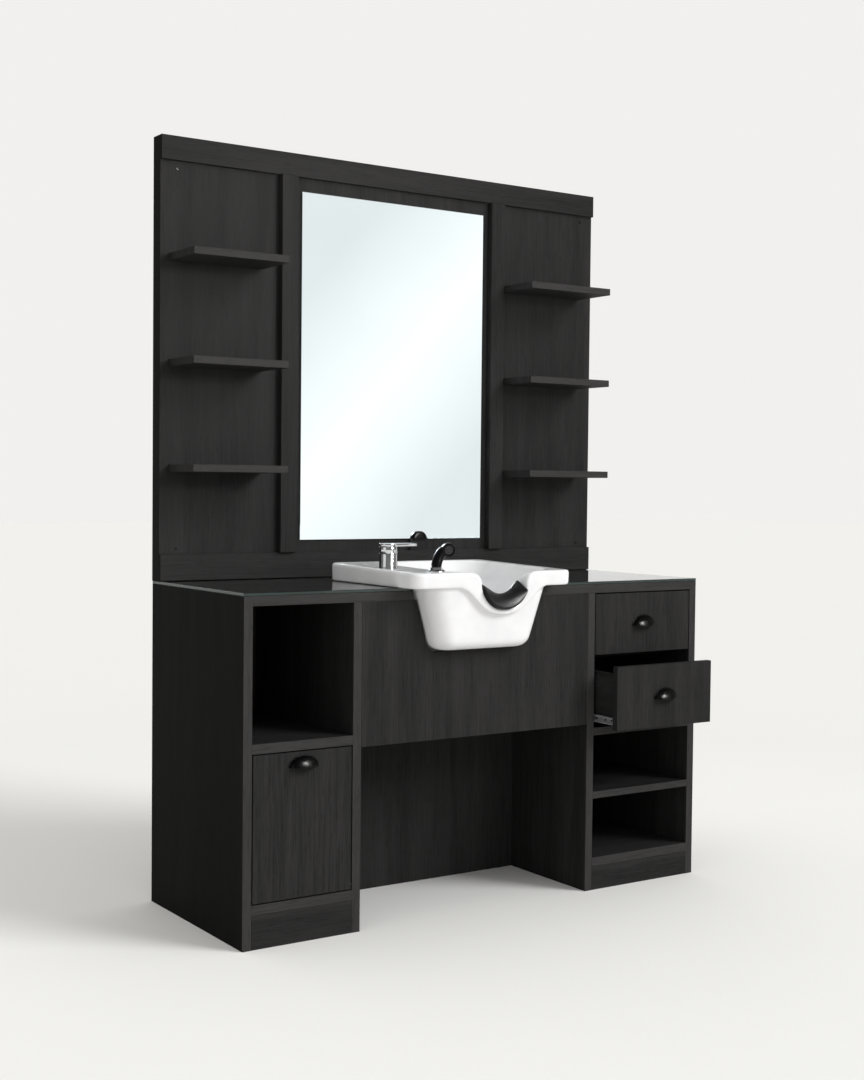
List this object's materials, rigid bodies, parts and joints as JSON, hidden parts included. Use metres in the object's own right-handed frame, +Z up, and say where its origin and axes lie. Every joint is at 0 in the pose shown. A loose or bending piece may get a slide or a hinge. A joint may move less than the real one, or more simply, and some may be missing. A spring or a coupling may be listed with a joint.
{
  "type": "salon wash and styling station",
  "caption": "Black wood-grain salon station with a glass counter, overhanging wash bowl, tilt-out hamper, drawers and a tall mirror panel with open shelves.",
  "frame": {"origin": "bottom centre of the bounding box, on the floor, with the lower drawer standing open as in the picture", "axes": "+X to the right seen from the front, +Y towards the mirror panel and the wall, +Z up"},
  "size_m": [1.5, 0.677, 2.09],
  "materials": {
    "stained_board": "black stained wood grain, satin",
    "board_edge": "black stained wood grain, satin, lighter edge",
    "counter_glass": "clear, polished edge",
    "mirror_glass": "silvered glass",
    "ceramic": "white gloss glaze",
    "chrome": "polished",
    "steel": "zinc plated",
    "black_plastic": "black, semi-gloss",
    "rubber": "black moulded",
    "pull_black": "black enamel, semi-gloss",
    "pipe_plastic": "white pipe",
    "bin_plastic": "black moulded"
  },
  "bodies": {
    "carcass": {"left_end_panel": "stained_board", "left_inner_panel": "stained_board", "left_plinth": "stained_board", "right_inner_panel": "stained_board", "right_end_panel": "stained_board", "right_plinth": "stained_board", "drawer_cross_rail": "stained_board", "base_back_panel": "stained_board", "counter_board": "stained_board", "apron_panel": "stained_board", "kneehole_back": "stained_board", "back_board": "stained_board", "top_rail": "stained_board", "bottom_rail": "stained_board", "left_stile": "stained_board", "right_stile": "stained_board", "left_base_board": "board_edge", "left_fixed_shelf": "board_edge", "right_base_board": "board_edge", "right_fixed_shelf": "board_edge", "drawer_divider": "board_edge", "left_shelf_lower": "board_edge", "left_shelf_middle": "board_edge", "left_shelf_upper": "board_edge", "right_shelf_lower": "board_edge", "right_shelf_middle": "board_edge", "right_shelf_upper": "board_edge", "glass_top": "counter_glass", "bowl": "ceramic", "neck_rest": "rubber", "drain_strainer": "chrome", "waste_trap": "pipe_plastic", "mixer_body": "chrome", "handset_collar": "chrome", "joining_plate": "steel", "mirror": "mirror_glass", "cable_port": "black_plastic", "hamper_pivot_rod": "steel", "upper_drawer_cabinet_slide_left": "steel", "upper_drawer_cabinet_slide_right": "steel", "lower_drawer_cabinet_slide_left": "steel", "lower_drawer_cabinet_slide_right": "steel"},
    "upper_drawer": {"upper_drawer_front": "stained_board", "upper_drawer_box": "stained_board", "upper_drawer_bottom": "stained_board", "upper_drawer_pull": "pull_black", "upper_drawer_slide_left": "steel", "upper_drawer_slide_right": "steel"},
    "lower_drawer": {"lower_drawer_front": "stained_board", "lower_drawer_box": "stained_board", "lower_drawer_bottom": "stained_board", "lower_drawer_pull": "pull_black", "lower_drawer_slide_left": "steel", "lower_drawer_slide_right": "steel"},
    "hamper": {"hamper_door": "stained_board", "hamper_bin": "bin_plastic", "hamper_pull": "pull_black"},
    "mixer_cap": {"mixer_cap": "chrome"},
    "mixer_lever": {"mixer_lever": "chrome"},
    "handset": {"handset": "black_plastic"}
  },
  "joints": [
    {"name": "upper_drawer_slide", "type": "slide", "parent": "carcass", "child": "upper_drawer", "axis": [0, -1, 0], "range_m": [0, 0.33]},
    {"name": "lower_drawer_slide", "type": "slide", "parent": "carcass", "child": "lower_drawer", "axis": [0, -1, 0], "range_m": [-0.098, 0.232]},
    {"name": "hamper_tilt", "type": "hinge", "parent": "carcass", "child": "hamper", "pos_m": [-0.581, -0.2085, 0.126], "axis": [1, 0, 0], "range_deg": [0, 35]},
    {"name": "mixer_swivel", "type": "hinge", "parent": "carcass", "child": "mixer_cap", "pos_m": [-0.263, -0.1015, 0.98], "axis": [0, 0, 1], "range_deg": [-50, 50]},
    {"name": "mixer_lift", "type": "hinge", "parent": "mixer_cap", "child": "mixer_lever", "pos_m": [-0.2875, -0.1015, 0.9889], "axis": [0, -1, 0], "range_deg": [0, 22]},
    {"name": "handset_lift", "type": "slide", "parent": "carcass", "child": "handset", "axis": [0, 0, 1], "range_m": [0, 0.036]}
  ]
}
